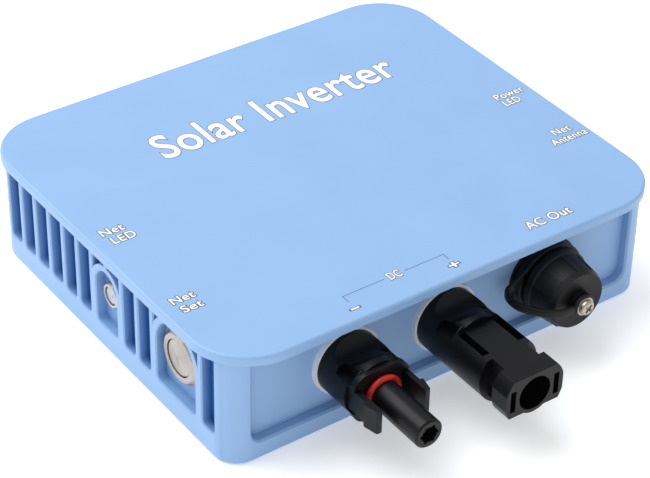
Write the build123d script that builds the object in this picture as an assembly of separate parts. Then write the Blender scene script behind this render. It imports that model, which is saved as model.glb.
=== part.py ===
# Compact solar inverter: die-cast box with a DC connector pair and a capped AC socket.
# Millimetres, +Z up, +X right, the connectors face -Y. Origin at the centre of the underside.
from build123d import *
from math import cos, radians, sin, tan
import os

os.makedirs("parts", exist_ok=True)

# ---- box ----
lid_width = 160.0
lid_depth = 140.0
overall_height = 40.0
lid_thickness = 3.0
lid_corner = 19.4
lid_edge = 0.9
side_overhang = 3.3
end_overhang = 4.9
body_corner = 8.0
body_foot_edge = 1.2
base_thickness = 3.0
side_wall = 2.8
front_wall = 2.5
cavity_corner = 6.0

# ---- cooling slots and pockets ----
slot_depth = 3.4
slot_pitch = 8.4
slot_width = 6.2
slot_floor = 8.4
slot_corner = 1.9
slot_edge = 0.4
side_slots = 14
back_slots = 15
recess_depth = 3.2
recess_floor = 6.4
recess_end = 7.9
recess_corner = 4.0
recess_edge = 0.6
arch_centre = 23.0
arch_rim = 2.3
lamp_arch = 5.9
button_arch = 10.2
lamp_y = 0.0
lamp_z = 20.2
port_y = -37.8
button_z = 22.3

# ---- fasteners and fits ----
lid_screw_radius = 1.5
screw_clearance = 0.2
screw_head_radius = 2.75
screw_head_height = 2.4
counterbore_radius = 3.1
post_radius = 5.6
post_from_wall = 5.5
post_top = 28.0
counterbore_top = 22.0
lid_boss_radius = 4.0
lid_screw_length = 12.0
fit = 0.1
nut_fit = 0.02
gasket_width = 2.0
gasket_height = 1.0
bracket_hole_radius = 2.0
bracket_hole_depth = 5.5
bracket_boss_radius = 4.2
bracket_boss_height = 3.4
bracket_x = 48.0
bracket_front_y = -34.0
bracket_back_y = 40.0

# ---- boards ----
board_thickness = 1.6
board_gap = 5.0
board_half_width = 60.0
board_front = -45.5
board_back_gap = 0.9
button_lead_inset = 12.2
lamp_lead_inset = 2.2
standoff_x = 56.0
standoff_front_y = -22.0
standoff_back_y = 41.0
standoff_radius = 3.0

# ---- transistors and their clamp ----
clamp_z = 20.0
clamp_screw_x = (-46.0, 46.0)
clamp_boss_radius = 3.4
pad_thickness = 0.5
transistor_thickness = 4.4
transistor_width = 10.0
transistor_pitch = 14.0
transistor_count = 6
clamp_bar_thickness = 1.6

# ---- DC connectors ----
port_gap = 1.5
minus_x = -35.2
plus_x = 0.0
dc_gasket_radius = 11.2
dc_gasket_thickness = 1.5
dc_body_radius = 10.4
dc_thread_radius = 7.0
dc_tail_length = 12.0
dc_nut_radius = 9.8
dc_nut_thickness = 3.5
minus_body_length = 14.6
plate_thickness = 1.8
plate_width = 19.4
plate_height = 16.4
plate_corner = 5.0
barrel_length = 22.0
barrel_radius = 4.65
barrel_root_radius = 4.3
barrel_hole_radius = 2.6
barrel_hole_depth = 20.0
o_ring_radius = 0.95
latch_outer = 9.2
latch_root = 1.6
latch_thickness = 1.7
latch_height = 7.8
latch_length = 10.4
latch_barb = 0.9
latch_gap = 0.15
latch_swing_gap = 0.4
plus_body_length = 28.9
plus_flat = 6.9
plus_neck_length = 5.5
plus_neck_width = 12.2
plus_block_length = 6.4
plus_block_width = 20.4
plus_block_height = 12.6
plus_block_round = 10.5
plus_bore_radius = 5.55
plus_bore_depth = 20.0
pin_radius = 2.0
pin_setback = 3.0
plus_pin_setback = 9.0
scoop_radius = 6.6
scoop_start = 7.2
scoop_height = 13.2
hump_radius = 5.7
trough_floor = 4.6
window_x = 6.4
window_width = 2.5
window_length = 11.4
window_back = 15.1
window_floor = 1.5
catch_slot_x = 7.75
catch_slot_width = 1.9
catch_slot_height = 7.4

# ---- AC socket and cap ----
ac_x = 37.4
ac_gasket_rim = 0.4
ac_gasket_thickness = 1.0
ac_flange_rim = 3.0
ac_flange_thickness = 2.0
ac_thread_rise = 0.7
ac_tail_length = 10.0
ac_nut_rim = 3.4
ac_nut_thickness = 3.5
ac_neck_length = 1.8
ac_spigot_radius = 8.3
ac_spigot_length = 7.0
ac_spigot_wall = 1.7
ac_pin_radius = 1.2
ac_pin_circle = 3.6
cap_clearance = 0.2
cap_wall = 2.7
cap_taper = 1.3
cap_rim_length = 2.4
cap_rim_step = 0.5
cap_skirt = 10.2
cap_nose = 1.9
cap_nose_step = 0.8
cap_boss_radius = 3.7
cap_boss_height = 1.3
cap_ridges = 10
cap_ridge_width = 0.5
cap_ridge_height = 0.25
cap_seal_thickness = 1.0
strap_thickness = 1.3
strap_height = 2.5
strap_lug_rise = 1.4
strap_lug_tip = 1.2
strap_lug_low = 4.5
strap_lug_high = 9.0
# the band's bends: distance out from the cap's rim, distance ahead of the ring, height above the axis
strap_bends = [
    (5.6, 0.0, 1.4), (6.7, 3.7, 1.2), (5.9, 7.0, 0.9),
    (3.7, 9.9, 0.6), (0.6, 13.3, 0.3), (-3.9, 15.5, 0.0)]
cap_screw_head = 2.45
cap_screw_shank = 1.25
cap_recess_length = 2.9
cap_recess_width = 0.8
cap_washer_radius = 3.0
cap_washer_thickness = 0.5

# ---- button, lamps, antenna port ----
button_bezel_radius = 8.7
button_bezel_height = 2.3
button_thread_radius = 7.9
button_barrel_length = 13.0
button_cap_radius = 5.75
button_cap_gap = 0.2
button_bore_radius = 7.1
button_travel = 2.0
button_nut_radius = 11.0
button_nut_thickness = 3.0
seal_thickness = 0.8
spring_wire = 0.35
spring_radius = 4.6
spring_turns = 4
lamp_bezel_radius = 4.2
lamp_bezel_height = 2.0
lamp_thread_radius = 3.9
lamp_barrel_length = 11.0
lamp_lens_radius = 3.0
lamp_nut_radius = 6.0
lamp_nut_thickness = 2.0
jack_radius = 3.175
jack_root_radius = 3.0
jack_reach = 9.5
jack_nut_radius = 4.9
jack_nut_thickness = 2.2
jack_washer_thickness = 0.6

# ---- sizes that follow ----
lid_underside = overall_height - lid_thickness
ac_thread_radius = ac_spigot_radius + ac_thread_rise
ac_flange_radius = ac_thread_radius + ac_flange_rim
ac_gasket_radius = ac_flange_radius + ac_gasket_rim
ac_nut_radius = ac_thread_radius + ac_nut_rim
ac_bore_radius = ac_spigot_radius - ac_spigot_wall
cap_back_radius = ac_spigot_radius + cap_clearance + cap_wall
cap_front_radius = cap_back_radius - cap_taper
cap_nose_radius = cap_front_radius - cap_nose_step
port_height = recess_floor + ac_gasket_radius + port_gap
body_x = lid_width / 2 - side_overhang
body_y = lid_depth / 2 - end_overhang
pocket_x = body_x - slot_depth
inner_x = pocket_x - side_wall
panel_y = body_y - recess_depth
inner_front = panel_y - front_wall
inner_back = body_y - slot_depth - side_wall
recess_x = body_x - recess_end
post_x = inner_x - post_from_wall
post_front = -inner_front + post_from_wall
post_back = inner_back - post_from_wall
posts = [(post_x, post_front), (-post_x, post_front), (post_x, post_back), (-post_x, post_back)]
board_bottom = base_thickness + board_gap
board_top = board_bottom + board_thickness
board_back = inner_back - board_back_gap
standoffs = [(sx * standoff_x, y) for sx in (-1, 1) for y in (standoff_front_y, standoff_back_y)]
clamp_back = inner_back - pad_thickness - transistor_thickness
gasket_face = panel_y + dc_gasket_thickness
brackets = [(sx * bracket_x, y) for sx in (-1, 1) for y in (bracket_front_y, bracket_back_y)]


def save(node, *shapes):
    """Write one named piece, or a group of identical pieces, to its own file."""
    solids = [solid for shape in shapes for solid in shape.solids()]
    export_step(solids[0] if len(solids) == 1 else Compound(children=solids), f"parts/{node}.step")


def block(x0, x1, y0, y1, z0, z1):
    """A box between two corners."""
    return Pos((x0 + x1) / 2, (y0 + y1) / 2, (z0 + z1) / 2) * Box(abs(x1 - x0), abs(y1 - y0), abs(z1 - z0))


def rod(place, radius, start, end):
    """A cylinder along a plane's normal, from one distance to another."""
    return place * Pos(0, 0, (start + end) / 2) * Cylinder(radius, abs(end - start))


def ring(place, outer, inner, start, end):
    """A flat ring or tube along a plane's normal."""
    return rod(place, outer, start, end) - rod(place, inner, start - 1, end + 1)


def prism(place, sketch, start, end):
    """A sketch drawn on a plane and raised between two distances."""
    return extrude(place * Pos(0, 0, start) * sketch, end - start)


def nut(place, corner_radius, bore, start, end):
    """A hexagon nut with a plain bore."""
    outside = prism(place, RegularPolygon(corner_radius, 6, rotation=30), start, end)
    return outside - rod(place, bore, start - 1, end + 1)


def front(x, z=port_height):
    """A plane whose normal points out of the front face."""
    return Plane(origin=(x, 0, z), x_dir=(1, 0, 0), z_dir=(0, -1, 0))


def side(direction, y, z):
    """A plane whose normal points out of the left (-1) or right (+1) face."""
    return Plane(origin=(0, y, z), x_dir=(0, direction, 0), z_dir=(direction, 0, 0))


def up(x, y, z=0.0):
    """A plane facing up at a point."""
    return Plane(origin=(x, y, z))


def lead(points, radius):
    """A wire along straight runs joined by arcs as large as the runs allow."""
    corners = []
    vectors = [Vector(*p) for p in points]
    for before, here, after in zip(vectors, vectors[1:], vectors[2:]):
        turn = (here - before).get_angle(after - here)
        run = min((here - before).length, (after - here).length)
        corners.append(0.45 * run / tan(radians(turn) / 2))
    path = FilletPolyline(*points, radius=corners)
    return sweep(Plane(origin=path @ 0, z_dir=path % 0) * Circle(radius), path=path)


# ---- housing ----
def arch(radius, foot, corner):
    """An outline with a round top and a flat foot."""
    shape = Pos(0, arch_centre) * Circle(radius)
    shape += Pos(0, (foot + arch_centre) / 2) * Rectangle(2 * radius, arch_centre - foot)
    lower = shape.vertices().group_by(Axis.Y)[0]
    return fillet(lower, corner)


def mouth(place, sketch, floor, outer, edge):
    """A sketch sunk from a face down to a floor, its edge at the face bevelled."""
    flare = extrude(place * Pos(0, 0, outer - edge) * sketch, edge, taper=-45)
    return prism(place, sketch, floor, outer + 1) + flare


def slot_cuts(place, count, outer, arches):
    """Vertical slots open at the top, with rimmed pockets where a fitting sits."""
    slot = Pos(0, (slot_floor + lid_underside) / 2) * Rectangle(slot_width, lid_underside - slot_floor)
    slot = fillet(slot.vertices().group_by(Axis.Y)[0], slot_corner)
    cut = Part()
    for index in range(count):
        offset = (index - (count - 1) / 2) * slot_pitch
        cut += mouth(place, Pos(offset, 0) * slot, outer - slot_depth, outer, slot_edge)
    for offset, radius in arches:
        cut -= prism(place, Pos(offset, 0) * arch(radius + arch_rim, 0.0, 0.5), outer - 9, outer + 2)
        outline = Pos(offset, 0) * arch(radius, slot_floor, slot_corner)
        pocket = mouth(place, outline, outer - slot_depth, outer, slot_edge)
        cut += pocket & block(-lid_width, lid_width, -lid_depth, lid_depth, 0, lid_underside)
    return cut


def make_housing():
    body = extrude(RectangleRounded(2 * body_x, 2 * body_y, body_corner), lid_underside)
    body = fillet(body.faces().sort_by(Axis.Z)[0].edges(), body_foot_edge)
    cavity_depth = inner_front + inner_back
    cavity = RectangleRounded(2 * inner_x, cavity_depth, cavity_corner)
    body -= prism(up(0, (inner_back - inner_front) / 2), cavity, base_thickness, lid_underside + 1)
    recess = Pos(0, (recess_floor + lid_underside + 5) / 2)
    recess *= Rectangle(2 * recess_x, lid_underside + 5 - recess_floor)
    recess = fillet(recess.vertices().group_by(Axis.Y)[0], recess_corner)
    body -= mouth(front(0, 0), recess, panel_y, body_y, recess_edge)
    for direction in (-1, 1):
        arches = [(direction * lamp_y, lamp_arch), (direction * port_y, button_arch)]
        body -= slot_cuts(side(direction, 0, 0), side_slots, body_x, arches)
    back = Plane(origin=(0, 0, 0), x_dir=(-1, 0, 0), z_dir=(0, 1, 0))
    body -= slot_cuts(back, back_slots, body_y, [])
    for x, y in posts:
        body += rod(up(x, y), post_radius, base_thickness - 1, post_top)
    for x, y in standoffs:
        body += rod(up(x, y), standoff_radius, base_thickness - 1, board_bottom)
        body -= rod(up(x, y), lid_screw_radius, base_thickness, board_bottom + 1)
    for x, y in brackets:
        body += rod(up(x, y), bracket_boss_radius, base_thickness - 1, base_thickness + bracket_boss_height)
        body -= rod(up(x, y), bracket_hole_radius, -1, bracket_hole_depth)
    for x, y in posts:
        body -= rod(up(x, y), counterbore_radius, -1, counterbore_top)
        body -= rod(up(x, y), lid_screw_radius + screw_clearance, counterbore_top - 1, post_top + 1)
    for x in clamp_screw_x:
        body += rod(front(x, clamp_z), clamp_boss_radius, -inner_back - 1, -clamp_back)
        body -= rod(front(x, clamp_z), lid_screw_radius, -inner_back, -clamp_back + 1)
    for x in (minus_x, plus_x):
        body -= rod(front(x), dc_thread_radius + fit, inner_front - 1, panel_y + 1)
    body -= rod(front(ac_x), ac_thread_radius + fit, inner_front - 1, panel_y + 1)
    for direction in (-1, 1):
        body -= rod(side(direction, lamp_y, lamp_z), lamp_thread_radius + fit, inner_x - 1, pocket_x + 1)
    body -= rod(side(-1, port_y, button_z), button_thread_radius + fit, inner_x - 1, pocket_x + 1)
    body -= rod(side(1, port_y, button_z), jack_root_radius + fit, inner_x - 1, pocket_x + 1)
    return body


def rim_path(width):
    """The gasket's band, centred on the top of the wall."""
    middle = side_wall / 2
    across = 2 * (inner_x + middle)
    along = inner_front + inner_back + 2 * middle
    corner = cavity_corner + middle
    outer = RectangleRounded(across + width, along + width, corner + width / 2)
    return outer - RectangleRounded(across - width, along - width, corner - width / 2)


def make_lid():
    plate = extrude(RectangleRounded(lid_width, lid_depth, lid_corner), lid_thickness)
    plate = Pos(0, 0, lid_underside) * plate
    plate = fillet(plate.faces().sort_by(Axis.Z)[-1].edges(), lid_edge)
    for x, y in posts:
        plate += rod(up(x, y), lid_boss_radius, post_top, lid_underside + 0.5)
        plate -= rod(up(x, y), lid_screw_radius + nut_fit, post_top - 1, post_top + lid_screw_length - 4)
    shift = (inner_back - inner_front) / 2
    plate -= prism(up(0, shift, lid_underside), rim_path(gasket_width + 2 * fit), -1, gasket_height)
    return plate


def make_lid_gasket():
    shift = (inner_back - inner_front) / 2
    return prism(up(0, shift, lid_underside), rim_path(gasket_width), 0, gasket_height)


def cap_screw(place, head_at, length, radius=lid_screw_radius):
    """A socket screw: head on the near side of head_at, shank running on."""
    sign = 1 if length > 0 else -1
    head = rod(place, screw_head_radius, *sorted((head_at - sign * screw_head_height, head_at)))
    shank = rod(place, radius, *sorted((head_at - sign * 0.1, head_at + length)))
    socket_ends = (head_at - sign * (screw_head_height + 1), head_at - sign * 1.1)
    socket = prism(place, RegularPolygon(1.45, 6), *socket_ends)
    return head + shank - socket


# ---- boards and what stands on them ----
def make_main_board():
    board = block(-board_half_width, board_half_width, board_front, board_back, board_bottom, board_top)
    for x, y in posts:
        board -= rod(up(x, y), post_radius + 0.8, 0, lid_underside)
    for x, y in standoffs:
        board -= rod(up(x, y), lid_screw_radius + screw_clearance, 0, lid_underside)
    return board


def make_transformer(x, y):
    core_half, leg, window_out, low = 17.0, 5.0, 12.0, board_top
    core = block(x - core_half, x + core_half, y - 8, y + 8, low, low + 26)
    core -= block(x - window_out, x + window_out, y - 9, y + 9, low + 5, low + 21)
    core += rod(up(x, y), leg, low + 4, low + 22)
    bobbin = ring(up(x, y), leg + 1, leg + 0.1, low + 5.1, low + 20.9)
    bobbin += ring(up(x, y), 11.6, leg + 0.1, low + 5.1, low + 6.1)
    bobbin += ring(up(x, y), 11.6, leg + 0.1, low + 19.9, low + 20.9)
    winding = ring(up(x, y), 10.9, leg + 1, low + 6.1, low + 19.9)
    return core, bobbin, winding


def make_choke(x, y):
    low = board_top + 1.6
    core = ring(up(x, y), 10.0, 6.0, low, low + 8)
    winding = ring(up(x, y), 11.4, 4.6, low - 1.4, low + 9.4) - core
    gap = Pos(x, y, low + 4) * Rot(0, 0, 90) * Box(40, 5, 20)
    return core, winding - gap


def make_capacitor(x, y):
    can = rod(up(x, y), 6.2, board_top, board_top + 20)
    return fillet(can.edges().sort_by(Axis.Z)[-1], 0.8)


def make_varistor(x, distance):
    disc = rod(front(x, board_top + 7.5), 6.2, distance, distance + 4)
    for wire in (x - 3, x + 3):
        disc += block(wire - 0.4, wire + 0.4, -distance - 2.4, -distance - 1.6, board_top, board_top + 3)
    return disc


def make_transistor(x):
    back = inner_back - pad_thickness
    half = transistor_width / 2
    body = block(x - half, x + half, back - transistor_thickness, back, 14.5, 24.0)
    body += block(x - half, x + half, back - 1.3, back, 23.5, 29.5)
    for offset in (-2.54, 0.0, 2.54):
        body += block(x + offset - 0.4, x + offset + 0.4, back - 2.8, back - 2.3, board_top, 15.0)
    return body - rod(front(x, 27.0), 1.8, -inner_back - 1, -inner_back + 5)


def make_boards():
    save("main_board", make_main_board())
    save("board_screws", *[cap_screw(up(x, y), board_top, -5.5) for x, y in standoffs])
    core, bobbin, winding = make_transformer(-18, 24)
    save("transformer_core", core)
    save("transformer_bobbin", bobbin)
    save("transformer_windings", winding)
    choke_core, choke_winding = make_choke(20, 24)
    save("output_choke_core", choke_core)
    save("output_choke_winding", choke_winding)
    save("input_capacitors", *[make_capacitor(-45, y) for y in (-10, 4, 18, 32)])
    film = [(-22, -10), (-22, 1), (44, 12)]
    save("film_capacitors", *[block(x - 9, x + 9, y - 4, y + 4, board_top, board_top + 14) for x, y in film])
    save("grid_relays", *[block(x - 5, x + 5, -26, -6, board_top, board_top + 15) for x in (32, 46)])
    fuse = rod(side(1, -32, board_top + 3.5), 2.4, 12, 28)
    caps = [rod(side(1, -32, board_top + 3.5), 2.7, a, a + 5) for a in (8, 27)]
    feet = [block(a, a + 1, -33, -31, board_top, board_top + 2) for a in (10, 29)]
    save("fuse", fuse + caps[0] + caps[1] + feet[0] + feet[1])
    save("surge_varistors", *[make_varistor(12, distance) for distance in (8, 15)])
    card = block(-6, 30, 4, 5.2, board_top + 2, board_top + 22)
    card += block(-4, 28, 3, 6.2, board_top, board_top + 2.5)
    save("control_board", card)
    radio = block(40, 58, 22, 46, board_top + 4, board_top + 5)
    radio += block(41, 44, 24, 44, board_top, board_top + 4)
    save("radio_board", radio + block(46, 56, 26, 40, board_top + 5, board_top + 7.5))
    row = [(i - (transistor_count - 1) / 2) * transistor_pitch for i in range(transistor_count)]
    save("switching_transistors", *[make_transistor(x) for x in row])
    save("thermal_pad", block(-42, 42, inner_back - pad_thickness, inner_back, 14.5, 29.5))
    bar = block(-50, 50, clamp_back - clamp_bar_thickness, clamp_back, clamp_z - 4, clamp_z + 3)
    for x in clamp_screw_x:
        bar -= rod(front(x, clamp_z), lid_screw_radius + screw_clearance, -inner_back, 0)
    save("transistor_clamp", bar)
    face = -(clamp_back - clamp_bar_thickness)
    save("clamp_screws", *[cap_screw(front(x, clamp_z), face, -5.5) for x in clamp_screw_x])


# ---- DC connectors ----
def dc_trunk(place, length):
    """The part both connectors share: thread through the panel, drum, scooped top and hump."""
    end = gasket_face + length
    drum = rod(place, dc_body_radius, gasket_face, end)
    drum += rod(place, dc_thread_radius, inner_front - dc_tail_length + front_wall, gasket_face + 1)
    groove_at = gasket_face + scoop_start
    groove = place * Pos(0, scoop_height, groove_at) * Rot(0, 90, 0) * Cylinder(scoop_radius, 30)
    drum -= groove
    front_end = gasket_face + minus_body_length
    for direction in (-1, 1):
        inner, outer = direction * hump_radius, direction * (dc_body_radius + 1)
        trough = Pos((inner + outer) / 2, trough_floor + 5) * Rectangle(abs(outer - inner), 10)
        drum -= prism(place, trough, groove_at, front_end - 0.6)
    crown = rod(place, dc_body_radius - 1.2, groove_at, front_end) & prism(
        place, Pos(0, 8) * Rectangle(2 * hump_radius, 16), groove_at, front_end)
    lip = prism(place, Pos(0, 12) * Rectangle(2 * hump_radius, 8.0), groove_at, front_end)
    return drum - (lip - crown)


def make_minus_body():
    place = front(minus_x)
    start = gasket_face + minus_body_length
    tip = start + plate_thickness + barrel_length
    body = dc_trunk(place, minus_body_length)
    plate = RectangleRounded(plate_width, plate_height, plate_corner)
    body += prism(place, plate, start - 0.2, start + plate_thickness)
    barrel = rod(place, barrel_radius, start, tip)
    barrel = chamfer(barrel.edges().sort_by(Axis.Y)[0], 0.5)
    root = start + plate_thickness
    barrel -= ring(place, barrel_radius + 1, barrel_root_radius, root, root + 2 * o_ring_radius)
    body += barrel
    spline = Circle(barrel_hole_radius)
    for index in range(6):
        spline += Rot(0, 0, 60 * index) * Pos(barrel_hole_radius, 0) * Rectangle(1.0, 1.0)
    body -= prism(place, spline, tip - barrel_hole_depth, tip + 1)
    body -= rod(place, pin_radius + 0.3, 0, tip - 1)
    for direction in (-1, 1):
        outer = plate_width / 2 + 1
        inner = latch_outer - latch_thickness - latch_swing_gap
        notch = Pos(direction * (outer + inner) / 2, 0)
        notch *= Rectangle(outer - inner, latch_height + 2 * latch_gap)
        body -= prism(place, notch, start - latch_root, start + plate_thickness + 1)
    return body


def make_latch(direction):
    """One flexing finger with an outward barb, its root in the plate's notch."""
    start = gasket_face + minus_body_length - latch_root + latch_gap
    end = gasket_face + minus_body_length + plate_thickness + latch_length
    inner = latch_outer - latch_thickness
    barb_start = end - 5.0
    outline = Polyline(
        (start, inner), (end, inner), (end, latch_outer - 0.3), (end - 0.4, latch_outer),
        (barb_start + 0.6, latch_outer + latch_barb), (barb_start, latch_outer + latch_barb),
        (barb_start, latch_outer), (start, latch_outer), (start, inner))
    start_z = port_height - direction * latch_height / 2
    flat = Plane(origin=(minus_x, 0, start_z), x_dir=(0, -1, 0), z_dir=(0, 0, direction))
    return extrude(flat * make_face(outline), latch_height)


def make_plus_body():
    place = front(plus_x)
    drum_end = gasket_face + plus_body_length
    neck_end = drum_end + plus_neck_length
    tip = neck_end + plus_block_length
    hump_end = gasket_face + minus_body_length
    body = dc_trunk(place, plus_body_length)
    body -= prism(place, Pos(0, plus_flat + 5) * Rectangle(30, 10), hump_end, drum_end + 1)
    neck = Rectangle(plus_neck_width, 2 * plus_flat) & Circle(plus_block_round)
    body += prism(place, neck, drum_end - 1, neck_end + 1)
    nose = Pos(0, plus_flat - plus_block_height / 2) * Rectangle(plus_block_width, plus_block_height)
    body += prism(place, nose & Circle(plus_block_round), neck_end, tip)
    body += prism(place, Circle(plus_bore_radius + 1.2) & Rectangle(30, 2 * plus_flat), drum_end, tip)
    body -= rod(place, plus_bore_radius, tip - plus_bore_depth, tip + 1)
    body -= rod(place, pin_radius + 0.3, 0, tip - 1)
    for direction in (-1, 1):
        window = Pos(direction * window_x, window_floor + 5) * Rectangle(window_width, 10)
        start = gasket_face + window_back
        body -= prism(place, window, start, start + window_length)
        catch = Pos(direction * catch_slot_x, 0) * Rectangle(catch_slot_width, catch_slot_height)
        body -= prism(place, catch, neck_end - 1, tip + 1)
    return body


def make_dc():
    tail = inner_front - dc_tail_length + front_wall
    places = [front(minus_x), front(plus_x)]
    gaskets = [ring(p, dc_gasket_radius, dc_thread_radius + fit, panel_y, gasket_face) for p in places]
    save("dc_gaskets", *gaskets)
    nut_end = inner_front - dc_nut_thickness
    nut_bore = dc_thread_radius + nut_fit
    save("dc_nuts", *[nut(p, dc_nut_radius, nut_bore, nut_end, inner_front) for p in places])
    save("dc_minus_body", make_minus_body())
    save("dc_plus_body", make_plus_body())
    plate_face = gasket_face + minus_body_length + plate_thickness
    seal = front(minus_x) * Pos(0, 0, plate_face + o_ring_radius)
    save("dc_minus_seal", seal * Torus(barrel_root_radius + o_ring_radius, o_ring_radius))
    barrel_tip = plate_face + barrel_length
    contact = rod(front(minus_x), pin_radius, tail - 4, barrel_tip - pin_setback)
    save("dc_minus_contact", contact - rod(front(minus_x), 1.4, barrel_tip - 14, barrel_tip))
    plus_tip = gasket_face + plus_body_length + plus_neck_length + plus_block_length
    pin = rod(front(plus_x), pin_radius, tail - 4, plus_tip - plus_pin_setback)
    save("dc_plus_pin", fillet(pin.edges().sort_by(Axis.Y)[0], 0.9))
    save("dc_minus_latch_left", make_latch(-1))
    save("dc_minus_latch_right", make_latch(1))


# ---- AC socket, cap and strap ----
flange_back = panel_y + ac_gasket_thickness
neck_start = flange_back + ac_flange_thickness
spigot_start = neck_start + ac_neck_length
spigot_end = spigot_start + ac_spigot_length
cap_start = spigot_start + cap_clearance
seal_start = spigot_end + 0.05
cap_inside = seal_start + cap_seal_thickness
nose_start = cap_start + cap_skirt
nose_end = nose_start + cap_nose
boss_end = nose_end + cap_boss_height
eyelet_start = boss_end + 0.05
washer_start = eyelet_start + strap_thickness + 0.05
head_start = washer_start + cap_washer_thickness


def make_cap(place):
    outline = Polyline(
        (0, cap_start), (cap_back_radius - 0.4, cap_start), (cap_back_radius, cap_start + 0.4),
        (cap_back_radius, cap_start + cap_rim_length),
        (cap_back_radius - cap_rim_step, cap_start + cap_rim_length + cap_rim_step),
        (cap_front_radius, nose_start), (cap_nose_radius, nose_end), (cap_boss_radius, nose_end - 0.5),
        (cap_boss_radius, boss_end), (0, boss_end), (0, cap_start))
    turned = Plane(origin=place.origin, x_dir=place.x_dir, z_dir=place.y_dir * -1)
    cap = revolve(turned * make_face(outline), Axis(place.origin, place.z_dir))
    cap -= rod(place, ac_spigot_radius + cap_clearance, cap_start - 1, cap_inside)
    cap -= rod(place, cap_screw_shank + nut_fit, boss_end - 5, boss_end + 1)
    ridge_start = cap_start + cap_rim_length + 0.5
    low = cap_back_radius - cap_rim_step
    slope = (low - cap_front_radius) / (nose_start - cap_start - cap_rim_length - cap_rim_step)
    for index in range(cap_ridges):
        spoke = place * Rot(0, 0, 360 / cap_ridges * (index + 0.5)) * Rot(90, 0, 0)
        outline = Polyline(
            (low - 2, ridge_start), (low - slope * 0.5 + cap_ridge_height, ridge_start),
            (cap_front_radius + cap_ridge_height, nose_start), (cap_nose_radius, nose_start + 0.9),
            (low - 2, nose_start + 0.9), (low - 2, ridge_start))
        cap += extrude(spoke * make_face(outline), cap_ridge_width / 2, both=True)
    return cap


def make_strap(place):
    ring_start = neck_start + 0.05
    ring_end = ring_start + strap_thickness
    collar = Circle(ac_flange_radius)
    tip = -cap_back_radius - strap_bends[0][0] - strap_thickness / 2
    low, high = strap_lug_rise - strap_lug_tip, strap_lug_rise + strap_lug_tip
    root_low, root_high = (-7, strap_lug_low), (-7, strap_lug_high)
    collar += make_face(Polyline(root_low, (tip, low), (tip, high), root_high, root_low))
    strap = prism(place, collar, ring_start, ring_end)
    eyelet_end = eyelet_start + strap_thickness
    strap += ring(place, cap_boss_radius, cap_screw_shank + 0.5, eyelet_start, eyelet_end)
    middle = eyelet_start + strap_thickness / 2
    start = ring_start + strap_thickness / 2
    rim = ac_x - cap_back_radius
    points = [(rim - out, -start - ahead, port_height + rise) for out, ahead, rise in strap_bends]
    points.append((ac_x - cap_washer_radius - 0.2, -middle - 0.1, port_height))
    path = FilletPolyline(*points, radius=[3.0, 4.0, 6.0, 6.0, 2.0])
    square = Plane(origin=path @ 0, x_dir=(0, 0, 1), z_dir=path % 0)
    strap += sweep(square * Rectangle(strap_height, strap_thickness), path=path)
    strap -= rod(place, ac_thread_radius + 0.1, 0, ring_end + 0.1)
    return strap - rod(place, cap_screw_shank + 0.5, ring_end, head_start)


def make_ac():
    place = front(ac_x)
    save("ac_socket_gasket", ring(place, ac_gasket_radius, ac_thread_radius + fit, panel_y, flange_back))
    shell = rod(place, ac_flange_radius, flange_back, neck_start)
    tail = inner_front - ac_tail_length
    shell += rod(place, ac_thread_radius, tail, spigot_start)
    shell += rod(place, ac_spigot_radius, spigot_start - 1, spigot_end)
    shell -= rod(place, ac_bore_radius, tail - 1, spigot_end + 1)
    save("ac_socket_shell", shell)
    insert = rod(place, ac_bore_radius - 0.02, tail, spigot_end - 7)
    angles = (90, 210, 330)
    spots = [(ac_pin_circle * cos(radians(a)), ac_pin_circle * sin(radians(a))) for a in angles]
    pins = []
    for x, z in spots:
        spot = front(ac_x + x, port_height + z)
        insert -= rod(spot, ac_pin_radius + 0.01, tail - 1, spigot_end)
        pins.append(rod(spot, ac_pin_radius, tail - 3, spigot_end - 1.5))
    save("ac_socket_insert", insert)
    save("ac_socket_pins", *pins)
    nut_end = inner_front - ac_nut_thickness
    save("ac_socket_nut", nut(place, ac_nut_radius, ac_thread_radius + nut_fit, nut_end, inner_front))
    save("cap_strap", make_strap(place))
    save("ac_cap", make_cap(place))
    save("ac_cap_seal", ring(place, ac_spigot_radius, ac_bore_radius, seal_start, cap_inside))
    washer = ring(place, cap_washer_radius, cap_screw_shank + 0.1, washer_start, head_start)
    save("cap_washer", washer)
    head = rod(place, cap_screw_head, head_start + 0.02, head_start + 1.5)
    head = fillet(head.edges().sort_by(Axis.Y)[0], 0.9)
    slot = Rectangle(cap_recess_length, cap_recess_width)
    for angle in (45, 135):
        head -= prism(place, Rot(0, 0, angle) * slot, head_start + 0.6, head_start + 3)
    screw = head + rod(place, cap_screw_shank, boss_end - 4.5, head_start + 0.3)
    save("ac_cap_screw", screw)
    return tail, spots


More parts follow.
